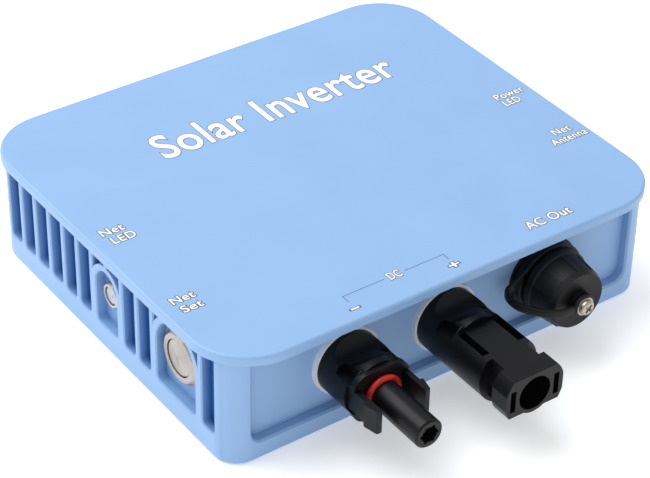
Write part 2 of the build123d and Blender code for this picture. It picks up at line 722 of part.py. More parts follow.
# ---- pushbutton, lamps and antenna port ----
def make_button():
    place = side(-1, port_y, button_z)
    bezel_top = pocket_x + button_bezel_height
    inner_end = pocket_x - button_barrel_length
    shelf = bezel_top - 3.4
    bezel = rod(place, button_bezel_radius, pocket_x, bezel_top)
    bezel = chamfer(bezel.edges().sort_by(Axis.X)[0], 1.1)
    bezel += rod(place, button_thread_radius, inner_end, pocket_x + 0.5)
    bezel -= rod(place, button_cap_radius + button_cap_gap, inner_end - 1, bezel_top + 1)
    bezel -= rod(place, button_bore_radius, inner_end - 1, shelf)
    save("set_button_bezel", bezel)
    seal_end = inner_x - seal_thickness
    nut_bore = button_thread_radius + nut_fit
    save("set_button_seal", ring(place, button_nut_radius - 1.4, nut_bore, seal_end, inner_x))
    nut_end = seal_end - button_nut_thickness
    save("set_button_nut", nut(place, button_nut_radius, nut_bore, nut_end, seal_end))
    cap_top = bezel_top - 0.3
    flange_low = shelf - 1.2
    switch_top = flange_low - 4.6
    cap = rod(place, button_cap_radius, flange_low, cap_top)
    cap = fillet(cap.edges().sort_by(Axis.X)[0], 0.25)
    cap += rod(place, button_bore_radius - button_cap_gap, flange_low, shelf - 0.1)
    cap += rod(place, 1.6, switch_top + button_travel + 0.2, flange_low + 0.5)
    save("set_button_cap", cap)
    length = flange_low - switch_top - spring_wire * 2 - 0.1
    coil = Helix(pitch=length / spring_turns, height=length, radius=spring_radius)
    wire = sweep(Plane(origin=coil @ 0, z_dir=coil % 0) * Circle(spring_wire), path=coil)
    save("set_button_spring", place * Pos(0, 0, switch_top + spring_wire + 0.05) * wire)
    switch = rod(place, button_bore_radius - 0.05, inner_end, switch_top)
    for offset in (-3, 3):
        switch += place * Pos(offset, 0, inner_end - 2.5) * Box(0.8, 2.0, 6)
    save("set_button_switch", switch)
    return inner_end - 5.5


def make_lamp(name, direction):
    place = side(direction, lamp_y, lamp_z)
    top = pocket_x + lamp_bezel_height
    inner_end = pocket_x - lamp_barrel_length
    bezel = rod(place, lamp_bezel_radius, pocket_x, top)
    bezel = chamfer(bezel.edges().sort_by(Axis.X)[0 if direction < 0 else -1], 0.5)
    bezel += rod(place, lamp_thread_radius, inner_end, pocket_x + 0.5)
    bezel -= rod(place, lamp_lens_radius + 0.05, inner_end - 1, top + 1)
    save(f"{name}_bezel", bezel)
    lens = rod(place, lamp_lens_radius, inner_end, top - 0.3)
    save(f"{name}_lens", fillet(lens.edges().sort_by(Axis.X)[0 if direction < 0 else -1], 0.8))
    return inner_end


def make_lamp_nuts():
    places = [side(direction, lamp_y, lamp_z) for direction in (-1, 1)]
    end = inner_x - lamp_nut_thickness
    save("lamp_nuts", *[nut(p, lamp_nut_radius, lamp_thread_radius + nut_fit, end, inner_x) for p in places])


def make_jack():
    place = side(1, port_y, button_z)
    washer_top = pocket_x + jack_washer_thickness
    nut_top = washer_top + jack_nut_thickness
    body = rod(place, jack_radius, nut_top, pocket_x + jack_reach)
    body += rod(place, jack_root_radius, inner_x - 1, nut_top + 1)
    body += prism(place, RegularPolygon(4.6, 6), inner_x - 2.2, inner_x)
    body += rod(place, 2.2, inner_x - 7, inner_x - 2)
    body -= rod(place, 2.1, pocket_x + jack_reach - 4, pocket_x + jack_reach + 1)
    body += rod(place, 0.5, pocket_x + jack_reach - 4.5, pocket_x + jack_reach - 1)
    save("antenna_jack", body)
    save("antenna_washer", ring(place, jack_nut_radius, jack_root_radius + fit, pocket_x, washer_top))
    save("antenna_nut", nut(place, jack_nut_radius, jack_root_radius + nut_fit, washer_top, nut_top))
    return inner_x - 7


# ---- wires inside ----
def drop_lead(start, reach, spread, radius):
    """A wire that leaves a tail straight, bends over and drops to the board's top."""
    x, y, z = start
    dx, dy = reach
    first = (x + dx * (1 - spread), y + dy * (1 - spread), z)
    return lead([start, first, (x + dx, y + dy, z - spread * 9), (x + dx, y + dy, board_top)], radius)


def make_leads(ac_tail, ac_spots, button_tail, lamp_tail, jack_tail):
    dc_wire, thin_wire, ac_wire, coax = 1.3, 0.6, 1.0, 0.7
    dc_end = -(inner_front - dc_tail_length + front_wall - 4)
    ends = [(x, dc_end, port_height) for x in (minus_x, plus_x)]
    save("dc_leads", *[drop_lead(end, (0, 9.5), 0.5, dc_wire) for end in ends])
    triple = []
    for dx, dz in ac_spots:
        drop = 6.0 if dz < 0 else 9.0
        triple.append(drop_lead((ac_x + dx, -(ac_tail - 3), port_height + dz), (0, drop), 0.4, ac_wire))
    save("ac_leads", *triple)
    tails = [(-button_tail, port_y + dy, button_z) for dy in (-3, 3)]
    button_reach = button_tail - board_half_width + button_lead_inset
    save("button_leads", *[drop_lead(tail, (button_reach, 0), 0.5, thin_wire) for tail in tails])
    lamp_reach = lamp_tail - board_half_width + lamp_lead_inset
    lamps = []
    for direction in (-1, 1):
        for dy in (-1.3, 1.3):
            start = (direction * lamp_tail, lamp_y + dy, lamp_z)
            lamps.append(drop_lead(start, (-lamp_reach * direction, 0), 0.5, thin_wire))
    save("lamp_leads", *lamps)
    x, z = jack_tail, board_top + 6
    route = [(x, port_y, button_z), (x - 4, port_y, button_z), (x - 6.4, port_y + 5, button_z - 1.5),
             (x - 5.0, port_y + 16, button_z - 2.6), (x - 5.6, port_y + 30, button_z - 2.4),
             (x - 5.5, port_y + 44, button_z - 3.0), (x - 6.2, port_y + 54, z + 2.4),
             (x - 6.4, port_y + 60, z - 0.3)]
    save("antenna_pigtail", lead(route, coax))


save("housing", make_housing())
save("lid", make_lid())
save("lid_gasket", make_lid_gasket())
save("lid_screws", *[cap_screw(up(x, y), counterbore_top, lid_screw_length) for x, y in posts])
make_boards()
make_dc()
ac_tail, ac_spots = make_ac()
button_tail = make_button()
lamp_tail = make_lamp("net_lamp", -1)
make_lamp("unit_lamp", 1)
make_lamp_nuts()
jack_tail = make_jack()
make_leads(ac_tail, ac_spots, button_tail, lamp_tail, jack_tail)
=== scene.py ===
# Compact solar inverter: finishes, printed lettering and soft pieces around the fixed frame.
# Metres. +X right, +Y back, +Z up, the connectors face -Y, the lamp and the button face -X.
from math import cos, pi, radians, sin

import bmesh
import bpy
import numpy as np
from mathutils import Matrix, Vector


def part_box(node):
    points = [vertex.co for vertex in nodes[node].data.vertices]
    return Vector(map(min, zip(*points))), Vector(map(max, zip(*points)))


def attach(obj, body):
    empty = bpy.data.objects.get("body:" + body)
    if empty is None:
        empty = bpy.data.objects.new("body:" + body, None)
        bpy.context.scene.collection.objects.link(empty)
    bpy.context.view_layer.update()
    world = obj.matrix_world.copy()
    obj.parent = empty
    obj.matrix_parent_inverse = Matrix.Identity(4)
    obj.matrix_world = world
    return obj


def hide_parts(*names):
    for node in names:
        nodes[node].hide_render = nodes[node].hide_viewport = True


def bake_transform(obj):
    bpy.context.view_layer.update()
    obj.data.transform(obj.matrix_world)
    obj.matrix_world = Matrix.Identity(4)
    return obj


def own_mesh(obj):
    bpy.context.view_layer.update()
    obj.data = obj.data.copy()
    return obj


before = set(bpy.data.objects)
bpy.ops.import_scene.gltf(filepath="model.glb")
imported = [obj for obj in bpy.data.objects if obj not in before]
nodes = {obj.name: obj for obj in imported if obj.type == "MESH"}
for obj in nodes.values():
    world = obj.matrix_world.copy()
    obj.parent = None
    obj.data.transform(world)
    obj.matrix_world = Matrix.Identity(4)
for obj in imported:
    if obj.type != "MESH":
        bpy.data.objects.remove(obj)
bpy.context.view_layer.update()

mm = 0.001
print("frame loaded")


# camera
# azimuth turns the camera round the object, elevation is above the floor, roll tips the picture
cameraView = {
    "azimuth": radians(-36.023), "elevation": radians(36.121), "roll": radians(1.227),
    "distance": 0.72683, "aimX": 9.778 * mm, "aimY": 10.427 * mm, "lens": 126.0, "sensor": 36.0,
}


def placeCamera(view):
    a, e = view["azimuth"], view["elevation"]
    back = Vector((sin(a) * cos(e), -cos(a) * cos(e), sin(e)))
    right = Vector((cos(a), sin(a), 0))
    up = back.cross(right)
    c, s = cos(view["roll"]), sin(view["roll"])
    tippedRight = right * c + up * s
    tippedUp = up * c - right * s
    data = bpy.data.cameras.new("camera")
    data.lens = view["lens"]
    data.sensor_width = view["sensor"]
    data.clip_start = 0.01
    camera = bpy.data.objects.new("camera", data)
    bpy.context.scene.collection.objects.link(camera)
    turn = Matrix((tippedRight, tippedUp, back)).transposed().to_4x4()
    where = Vector((view["aimX"], view["aimY"], 0)) + back * view["distance"]
    camera.matrix_world = Matrix.Translation(where) @ turn
    bpy.context.scene.camera = camera


placeCamera(cameraView)
print("camera placed")


# colour and node helpers
def linear(hexColour):
    # sRGB hex to the linear values that shaders use
    parts = [int(hexColour[i:i + 2], 16) / 255 for i in (1, 3, 5)]
    return tuple(c / 12.92 if c <= 0.04045 else ((c + 0.055) / 1.055) ** 2.4 for c in parts) + (1.0,)


def addNode(tree, kind, values=None, links=None, **settings):
    # values fill sockets, links join {socket: (node, output)}, settings are the node's own options
    item = tree.nodes.new(kind)
    for name, value in settings.items():
        setattr(item, name, value)
    for socket, value in (values or {}).items():
        item.inputs[socket].default_value = value
    for socket, (source, output) in (links or {}).items():
        tree.links.new(source.outputs[output], item.inputs[socket])
    return item


def newMaterial(name, **values):
    # an empty material with one principled shader
    material = bpy.data.materials.new(name)
    material.use_nodes = True
    tree = material.node_tree
    tree.nodes.clear()
    shader = addNode(tree, "ShaderNodeBsdfPrincipled", {k.replace("_", " "): v for k, v in values.items()})
    addNode(tree, "ShaderNodeOutputMaterial", links={"Surface": (shader, "BSDF")})
    return material, tree, shader


noiseSpan = {"From Min": 0.3, "From Max": 0.7}  # where nearly all of a noise texture's values lie


def mottledFinish(name, look):
    # a finish with two close colours in soft patches, a varying gloss and a fine grain:
    # patch and grain are sizes in mm, light and dark are hex colours, smooth and rough the gloss range
    material, tree, shader = newMaterial(name, Metallic=look.get("metallic", 0.0), IOR=look.get("ior", 1.5),
                                         Specular_IOR_Level=look.get("specular", 0.5))
    place = addNode(tree, "ShaderNodeTexCoord")
    patch = addNode(tree, "ShaderNodeTexNoise",
                    {"Scale": 1000 / look["patch"], "Detail": 3.0, "Roughness": 0.5},
                    {"Vector": (place, "Object")})
    grain = addNode(tree, "ShaderNodeTexNoise", {"Scale": 1000 / look["grain"], "Detail": 2.0},
                    {"Vector": (place, "Object")})
    spread = addNode(tree, "ShaderNodeMapRange", noiseSpan, {"Value": (patch, "Fac")})
    colour = addNode(tree, "ShaderNodeMix", {"A": linear(look["dark"]), "B": linear(look["light"])},
                     data_type="RGBA")
    tree.links.new(spread.outputs["Result"], colour.inputs["Factor"])
    gloss = addNode(tree, "ShaderNodeMapRange",
                    {**noiseSpan, "To Min": look["smooth"], "To Max": look["rough"]},
                    {"Value": (grain, "Fac")})
    bump = addNode(tree, "ShaderNodeBump", {"Strength": look["relief"], "Distance": look["depth"] * mm},
                   {"Height": (grain, "Fac")})
    tree.links.new(colour.outputs["Result"], shader.inputs["Base Color"])
    tree.links.new(gloss.outputs["Result"], shader.inputs["Roughness"])
    tree.links.new(bump.outputs["Normal"], shader.inputs["Normal"])
    return material, tree, shader


def shaderOf(tree):
    return [item for item in tree.nodes if item.type == "BSDF_PRINCIPLED"][0]


def dress(material, *names):
    # the named CAD nodes take this material
    for name in names:
        data = nodes[name].data
        data.materials.clear()
        data.materials.append(material)


def middle(node):
    low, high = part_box(node)
    return (low + high) / 2


# painted die-cast box
# polyester powder coat on die-cast aluminium: a satin film with the soft ripple of orange peel
# (waves about 2 mm long) over a finer sparkle; on the box a painted shade darkens the pocket floors:
# the painted shade comes in from pocketEdge to pocketDepth mm behind the walls, and from frontStart to
# frontEnd mm on Y; a wide pocket, a node and half the pocket's width, takes only the share wideShade of it,
# rising again from wideInner to wideOuter mm inside its edge and over the last wideTop mm of its height
paint = {"light": "#8aafdb", "dark": "#86abd7", "patch": 26.0, "grain": 0.7, "smooth": 0.38, "rough": 0.46,
         "relief": 0.10, "depth": 0.02, "ripple": 2.4, "rippleDepth": 0.03, "rippleRelief": 0.16,
         "pocket": "#2a66a6", "pocketEdge": 0.3, "pocketDepth": 3.2, "frontStart": -61.2, "frontEnd": -60.0,
         "wideShade": 0.25, "wideTop": 3.0, "wideInner": 1.0, "wideOuter": 0.6,
         "widePockets": (("set_button_bezel", 11.0), ("net_lamp_bezel", 7.0))}


def powderCoat(look, pockets):
    # narrow pockets get a painted shade: their floors are mixed towards a deeper blue that stands in for the
    # shade there
    material, tree, shader = mottledFinish("powderCoat" + ("Housing" if pockets else "Lid"), look)
    place = addNode(tree, "ShaderNodeTexCoord")
    ripple = addNode(tree, "ShaderNodeTexNoise", {"Scale": 1000 / look["ripple"], "Detail": 1.0},
                     {"Vector": (place, "Object")})
    size = {"Strength": look["rippleRelief"], "Distance": look["rippleDepth"] * mm}
    wave = addNode(tree, "ShaderNodeBump", size, {"Height": (ripple, "Fac")})
    fine = shader.inputs["Normal"].links[0].from_node
    tree.links.new(wave.outputs["Normal"], fine.inputs["Normal"])
    if not pockets:
        return material

    # how far a point lies inside the side walls and the back wall, whichever is nearer
    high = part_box("housing")[1]
    split = addNode(tree, "ShaderNodeSeparateXYZ", links={0: (place, "Object")})
    across = addNode(tree, "ShaderNodeMath", links={0: (split, "X")}, operation="ABSOLUTE")
    side = addNode(tree, "ShaderNodeMath", {0: high.x}, {1: (across, "Value")}, operation="SUBTRACT")
    back = addNode(tree, "ShaderNodeMath", {0: high.y}, {1: (split, "Y")}, operation="SUBTRACT")
    inward = addNode(tree, "ShaderNodeMath", links={0: (side, "Value"), 1: (back, "Value")},
                     operation="MINIMUM")
    deep = addNode(tree, "ShaderNodeMapRange",
                   {"From Min": look["pocketEdge"] * mm, "From Max": look["pocketDepth"] * mm},
                   {"Value": (inward, "Value")})
    # the front recess takes no painted shade
    behind = addNode(tree, "ShaderNodeMapRange",
                     {"From Min": look["frontStart"] * mm, "From Max": look["frontEnd"] * mm},
                     {"Value": (split, "Y")})
    shadeAmount = addNode(tree, "ShaderNodeMath", links={0: (deep, "Result"), 1: (behind, "Result")},
                     operation="MULTIPLY")
    # the wider pockets round the button and the lamps take little of the painted shade
    for node, reach in look["widePockets"]:
        centre = middle(node)
        offset = addNode(tree, "ShaderNodeMath", {1: centre.y}, {0: (split, "Y")}, operation="SUBTRACT")
        aside = addNode(tree, "ShaderNodeMath", links={0: (offset, "Value")}, operation="ABSOLUTE")
        above = addNode(tree, "ShaderNodeMapRange",
                        {"From Min": centre.z + (reach - look["wideTop"]) * mm,
                         "From Max": centre.z + reach * mm}, {"Value": (split, "Z")})
        beside = addNode(tree, "ShaderNodeMapRange",
                         {"From Min": (reach - look["wideInner"]) * mm,
                          "From Max": (reach - look["wideOuter"]) * mm, "To Min": look["wideShade"]},
                         {"Value": (aside, "Value")})
        outside = addNode(tree, "ShaderNodeMath", links={0: (beside, "Result"), 1: (above, "Result")},
                          operation="MAXIMUM")
        shadeAmount = addNode(tree, "ShaderNodeMath", links={0: (shadeAmount, "Value"), 1: (outside, "Value")},
                         operation="MULTIPLY")
    # painted shade: the paint colour is mixed towards the deeper pocket colour by the amount found above
    film = shader.inputs["Base Color"].links[0].from_node
    paintedShade = addNode(tree, "ShaderNodeMix", {"B": linear(look["pocket"])},
                   {"Factor": (shadeAmount, "Value"), "A": (film, "Result")}, data_type="RGBA")
    tree.links.new(paintedShade.outputs["Result"], shader.inputs["Base Color"])
    return material


dress(powderCoat(paint, True), "housing")
dress(powderCoat(paint, False), "lid")
print("box painted")


# moulded plastic and rubber
# glass-filled nylon, moulded in a spark-eroded tool: black with a low even sheen
nylon = {"light": "#0b0b0e", "dark": "#07070a", "patch": 9.0, "grain": 0.25, "smooth": 0.30, "rough": 0.42,
         "relief": 0.12, "depth": 0.02, "ior": 1.53, "specular": 0.2}
# soft black rubber: duller, with a slight bloom
rubber = {"light": "#101013", "dark": "#0b0b0e", "patch": 6.0, "grain": 0.3, "smooth": 0.42, "rough": 0.58,
          "relief": 0.15, "depth": 0.02, "ior": 1.52, "specular": 0.25}
# moulded silicone washer, pale grey, slightly waxy
washerRubber = {"light": "#e2e6eb", "dark": "#d8dce2", "patch": 5.0, "grain": 0.4, "smooth": 0.40,
                "rough": 0.52, "relief": 0.1, "depth": 0.02, "ior": 1.41}
# red silicone ring, wet-looking from its grease
ringRubber = {"light": "#c2281c", "dark": "#a81d14", "patch": 2.0, "grain": 0.3, "smooth": 0.24,
              "rough": 0.36, "relief": 0.08, "depth": 0.01, "ior": 1.41}
# foamed gasket, dark grey and open-pored
foam = {"light": "#2c2e31", "dark": "#1d1f21", "patch": 1.2, "grain": 0.35, "smooth": 0.7, "rough": 0.9,
        "relief": 0.4, "depth": 0.08, "ior": 1.5}

blackNylon = mottledFinish("mouldedNylonBlack", nylon)[0]
blackRubber = mottledFinish("mouldedRubberBlack", rubber)[0]
dress(blackNylon, "dc_minus_body", "dc_plus_body", "dc_minus_latch_left", "dc_minus_latch_right", "dc_nuts",
      "ac_socket_shell", "ac_socket_insert", "ac_socket_nut", "set_button_switch")
dress(blackRubber, "ac_cap", "cap_strap", "ac_socket_gasket", "ac_cap_seal")
dress(mottledFinish("siliconeWasherGrey", washerRubber)[0], "dc_gaskets")
dress(mottledFinish("siliconeRingRed", ringRubber)[0], "dc_minus_seal")
dress(mottledFinish("foamGasketGrey", foam)[0], "lid_gasket", "set_button_seal")
print("plastic and rubber done")


# metals
# turned stainless steel: rings cut by the lathe tool run round the fitting's own axis
turned = {"light": "#b9b1a7", "dark": "#a19990", "ringPitch": 0.25, "relief": 0.6, "depth": 0.02,
          "smooth": 0.24, "rough": 0.38, "patch": 3.0}
brassNickel = {"light": "#c4c3c0", "dark": "#a8a6a2", "ringPitch": 0.25, "relief": 0.3, "depth": 0.01,
               "smooth": 0.2, "rough": 0.34, "patch": 2.0}


def turnedMetal(name, look, centre, axis):
    # height follows the distance from the axis through centre: one small ridge for each tool pass
    material, tree, shader = newMaterial(name, Metallic=1.0)
    place = addNode(tree, "ShaderNodeTexCoord")
    mask = [1.0, 1.0, 1.0]
    mask[axis] = 0.0
    offset = addNode(tree, "ShaderNodeVectorMath", {1: tuple(centre)}, {0: (place, "Object")},
                     operation="SUBTRACT")
    flat = addNode(tree, "ShaderNodeVectorMath", {1: tuple(mask)}, {0: (offset, "Vector")},
                   operation="MULTIPLY")
    reach = addNode(tree, "ShaderNodeVectorMath", links={0: (flat, "Vector")}, operation="LENGTH")
    phase = addNode(tree, "ShaderNodeMath", {1: 2 * pi / (look["ringPitch"] * mm)}, {0: (reach, "Value")},
                    operation="MULTIPLY")
    ridge = addNode(tree, "ShaderNodeMath", links={0: (phase, "Value")}, operation="SINE")
    patch = addNode(tree, "ShaderNodeTexNoise", {"Scale": 1000 / look["patch"], "Detail": 4.0},
                    {"Vector": (place, "Object")})
    colour = addNode(tree, "ShaderNodeMix", {"A": linear(look["dark"]), "B": linear(look["light"])},
                     data_type="RGBA")
    tree.links.new(patch.outputs["Fac"], colour.inputs["Factor"])
    gloss = addNode(tree, "ShaderNodeMapRange",
                    {**noiseSpan, "To Min": look["smooth"], "To Max": look["rough"]},
                    {"Value": (patch, "Fac")})
    bump = addNode(tree, "ShaderNodeBump", {"Strength": look["relief"], "Distance": look["depth"] * mm},
                   {"Height": (ridge, "Value")})
    tree.links.new(colour.outputs["Result"], shader.inputs["Base Color"])
    tree.links.new(gloss.outputs["Result"], shader.inputs["Roughness"])
    tree.links.new(bump.outputs["Normal"], shader.inputs["Normal"])
    return material


dress(turnedMetal("turnedStainlessButton", turned, middle("set_button_cap"), 0),
      "set_button_bezel", "set_button_cap")
dress(turnedMetal("turnedBrassNetLamp", brassNickel, middle("net_lamp_bezel"), 0), "net_lamp_bezel")
dress(turnedMetal("turnedBrassUnitLamp", brassNickel, middle("unit_lamp_bezel"), 0), "unit_lamp_bezel")
dress(turnedMetal("turnedStainlessScrew", turned, middle("ac_cap_screw"), 1), "ac_cap_screw", "cap_washer")

plainMetals = {
    "zincPlatedSteel": (("lid_screws", "board_screws", "clamp_screws"), "#b9bcc0", "#9ea2a8", 1.5),
    "stampedStainless": (("set_button_nut", "set_button_spring", "transistor_clamp"),
                         "#c3c0bb", "#aaa7a2", 2.5),
    "platedBrass": (("lamp_nuts",), "#c9c6bf", "#b1aea7", 2.0),
    "goldPlatedBrass": (("antenna_jack", "antenna_nut", "antenna_washer"), "#d8b25a", "#c39a45", 2.0),
    "tinnedCopper": (("dc_minus_contact", "dc_plus_pin", "ac_socket_pins"), "#cfcdc8", "#b5b2ac", 1.5),
}
for name, (members, light, dark, patch) in plainMetals.items():
    look = {"light": light, "dark": dark, "patch": patch, "grain": 0.2, "smooth": 0.22, "rough": 0.4,
            "relief": 0.1, "depth": 0.01, "metallic": 1.0}
    dress(mottledFinish(name, look)[0], *members)
print("metals done")


# lamp lenses
# opal polycarbonate: milky, with the moulded rings that spread the light
def opalLens(name, centre, pitch):
    material = turnedMetal(name, {"light": "#c3c8d2", "dark": "#aab0bc", "ringPitch": pitch, "relief": 0.8,
                                  "depth": 0.06, "smooth": 0.12, "rough": 0.22, "patch": 2.0}, centre, 0)
    shader = shaderOf(material.node_tree)
    shader.inputs["Metallic"].default_value = 0.0
    shader.inputs["IOR"].default_value = 1.58
    shader.inputs["Subsurface Weight"].default_value = 0.4
    shader.inputs["Subsurface Radius"].default_value = (1 * mm, 1 * mm, 1 * mm)
    return material


for lamp in ("net_lamp_lens", "unit_lamp_lens"):
    dress(opalLens("opalPolycarbonate_" + lamp, middle(lamp), 0.9), lamp)


# parts on the boards
inside = {
    "solderMaskGreen": (("main_board", "control_board", "radio_board"), "#1f6b3a", "#17582e", 3.0, 0.3, 0.45),
    "sinteredFerrite": (("transformer_core", "output_choke_core"), "#3c3d3f", "#2c2d2f", 0.8, 0.5, 0.7),
    "mouldedBobbin": (("transformer_bobbin",), "#3a3128", "#2d261f", 4.0, 0.35, 0.5),
    "enamelledCopper": (("transformer_windings", "output_choke_winding"),
                        "#b4622c", "#9a4e20", 1.0, 0.2, 0.35),
    "shrunkSleeve": (("input_capacitors",), "#23262e", "#1a1c23", 5.0, 0.25, 0.35),
    "pottedFilmCase": (("film_capacitors",), "#c8a32e", "#b69222", 5.0, 0.4, 0.5),
    "relayCase": (("grid_relays",), "#2b4f8f", "#234378", 5.0, 0.3, 0.42),
    "epoxyDip": (("surge_varistors",), "#2f6ea8", "#255b8d", 2.0, 0.25, 0.4),
    "epoxyPackage": (("switching_transistors",), "#1d1e20", "#151617", 2.0, 0.45, 0.6),
    "thermalPadGrey": (("thermal_pad",), "#9aa0a8", "#868c94", 1.0, 0.7, 0.85),
    "fuseGlass": (("fuse",), "#dfe3e4", "#c6cccd", 2.0, 0.06, 0.15),
    "wireRed": (("dc_leads", "button_leads"), "#b02a22", "#96211a", 3.0, 0.35, 0.5),
    "wireBrown": (("ac_leads",), "#5b3a24", "#4b2f1d", 3.0, 0.35, 0.5),
    "wireGrey": (("lamp_leads", "antenna_pigtail"), "#6c7178", "#5a5f66", 3.0, 0.35, 0.5),
}
for name, (members, light, dark, patch, smooth, rough) in inside.items():
    look = {"light": light, "dark": dark, "patch": patch, "grain": 0.3, "smooth": smooth, "rough": rough,
            "relief": 0.15, "depth": 0.02}
    finish, tree, shader = mottledFinish(name, look)
    shader.inputs["Transmission Weight"].default_value = 0.75 if name == "fuseGlass" else 0.0
    dress(finish, *members)
print("inside parts done")


# turns, tracks and threads
def bandedRelief(node, axis, pitch, depth, shade):
    # even ridges square to one axis, with a painted shade in the valleys: a sine of the place along that
    # axis, pitch in mm
    tree = nodes[node].data.materials[0].node_tree
    shader = shaderOf(tree)
    place = addNode(tree, "ShaderNodeTexCoord")
    split = addNode(tree, "ShaderNodeSeparateXYZ", links={0: (place, "Object")})
    phase = addNode(tree, "ShaderNodeMath", {1: 2 * pi / (pitch * mm)}, {0: (split, axis)},
                    operation="MULTIPLY")
    ridge = addNode(tree, "ShaderNodeMath", links={0: (phase, "Value")}, operation="SINE")
    lift = addNode(tree, "ShaderNodeMapRange", {"From Min": -1.0}, {"Value": (ridge, "Value")})
    bump = addNode(tree, "ShaderNodeBump", {"Strength": 0.9, "Distance": depth * mm},
                   {"Height": (lift, "Result")})
    fine = shader.inputs["Normal"].links[0].from_node
    tree.links.new(bump.outputs["Normal"], fine.inputs["Normal"])
    film = shader.inputs["Base Color"].links[0].from_node
    # painted shade: the colour in the valleys keeps only the share shade of its light
    groove = addNode(tree, "ShaderNodeMapRange", {"To Min": shade}, {"Value": (lift, "Result")})
    valleyShade = addNode(tree, "ShaderNodeVectorMath", links={0: (film, "Result"), 1: (groove, "Result")},
                   operation="MULTIPLY")
    tree.links.new(valleyShade.outputs["Vector"], shader.inputs["Base Color"])


def ownMaterial(node, name):
    # a copy of the node's finish that it doesn't share
    material = nodes[node].data.materials[0].copy()
    material.name = name
    dress(material, node)


# copper tracks under the solder mask show as slightly lighter, raised lines about 1 mm wide, 9 mm apart
tracksLook = {"apart": 9.0, "width": 0.05, "soft": 0.1, "length": 1.7, "relief": 0.5, "depth": 0.05,
              "mask": "#1f6b3a", "maskDeep": "#1c6435", "track": "#3b8f57"}


def boardTracks(node, name, look):
    ownMaterial(node, name)
    tree = nodes[node].data.materials[0].node_tree
    shader = shaderOf(tree)
    place = addNode(tree, "ShaderNodeTexCoord")
    tracks = addNode(tree, "ShaderNodeTexBrick",
                     {"Scale": 1000 / look["apart"], "Mortar Size": look["width"],
                      "Mortar Smooth": look["soft"], "Brick Width": look["length"],
                      "Color1": linear(look["mask"]), "Color2": linear(look["maskDeep"]),
                      "Mortar": linear(look["track"])}, {"Vector": (place, "Object")})
    tree.links.new(tracks.outputs["Color"], shader.inputs["Base Color"])
    raised = addNode(tree, "ShaderNodeBump", {"Strength": look["relief"], "Distance": look["depth"] * mm},
                     {"Height": (tracks, "Fac")})
    fine = shader.inputs["Normal"].links[0].from_node
    tree.links.new(raised.outputs["Normal"], fine.inputs["Normal"])


for board in ("main_board", "control_board", "radio_board"):
    boardTracks(board, "solderMaskTracks_" + board, tracksLook)
ownMaterial("output_choke_winding", "enamelledCopperChoke")
ownMaterial("antenna_jack", "goldThread")
# axis, pitch and depth in mm, and how much light the valleys keep; the jack has 36 turns to the inch
bands = {
    "transformer_windings": ("Z", 0.7, 0.25, 0.5),
    "output_choke_winding": ("Y", 1.1, 0.3, 0.5),
    "antenna_jack": ("X", 0.706, 0.25, 0.6),
}
for node, (axis, pitch, depth, shade) in bands.items():
    bandedRelief(node, axis, pitch, depth, shade)
print("turns, tracks and threads done")


# printed lettering
# screen-printed epoxy ink, white over a slightly wider dark coat; places are mm on the lid's top:
# the words, their left, right, baseline, capital height, and how bold they are in font units
lettering = {
    "whiteThickness": 0.06, "darkThickness": 0.02, "border": 0.24, "smallBorder": 0.26,
    "spacing": 1.05, "rim": 0.4,
    "title": [("Solar Inverter", -38.6, 50.2, 26.2, 13.0, 0.016)],
    "labels": [
        ("Net", -75.2, -67.6, 2.6, 3.3, 0.012), ("LED", -74.1, -66.4, -2.2, 3.3, 0.012),
        ("Net", -75.4, -67.9, -35.9, 3.1, 0.012), ("Set", -74.8, -68.1, -40.6, 3.1, 0.012),
        ("Power", 66.0, 77.0, -3.9, 3.2, 0.012), ("LED", 66.3, 72.6, -8.0, 3.2, 0.012),
        ("Net", 68.3, 74.8, -29.6, 3.2, 0.012), ("Antenna", 64.4, 77.9, -33.9, 3.2, 0.012),
        ("AC Out", 29.8, 46.4, -63.7, 3.6, 0.012), ("DC", -18.2, -14.0, -60.5, 3.3, 0.012),
        ("+", -0.8, 2.8, -64.6, 3.3, 0.02), ("-", -35.8, -33.0, -65.3, 3.3, 0.02),
    ],
    "lineWidth": 0.22,
    "lines": [[(-34.2, -61.9), (-34.2, -59.0), (-19.8, -59.0)], [(-12.4, -59.0), (1.4, -59.0), (1.4, -61.6)]],
}
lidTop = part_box("lid")[1].z


def flatInk(name, light, dark):
    look = {"light": light, "dark": dark, "patch": 4.0, "grain": 0.4, "smooth": 0.35, "rough": 0.5,
            "relief": 0.1, "depth": 0.01}
    return mottledFinish(name, look)[0]


whiteInk = flatInk("printedInkWhite", "#f6f5f2", "#efeeea")
darkInk = flatInk("printedInkGrey", "#5c6470", "#525a66")


def textMesh(words, bold):
    # a word as a mesh in font units; its edge is drawn outwards by bold and slopes down to the lid
    curve = bpy.data.curves.new(words, "FONT")
    curve.body = words
    curve.bevel_depth = bold
    curve.bevel_resolution = 1
    curve.resolution_u = 6
    curve.space_character = lettering["spacing"]
    holder = bpy.data.objects.new(words, curve)
    bpy.context.scene.collection.objects.link(holder)
    bpy.context.view_layer.update()
    mesh = bpy.data.meshes.new_from_object(holder.evaluated_get(bpy.context.evaluated_depsgraph_get()))
    bpy.data.objects.remove(holder)
    return mesh


def meshPoints(mesh):
    flat = np.empty(len(mesh.vertices) * 3)
    mesh.vertices.foreach_get("co", flat)
    return flat.reshape(-1, 3)


capShare = meshPoints(textMesh("H", 0.0))[:, 1].max()


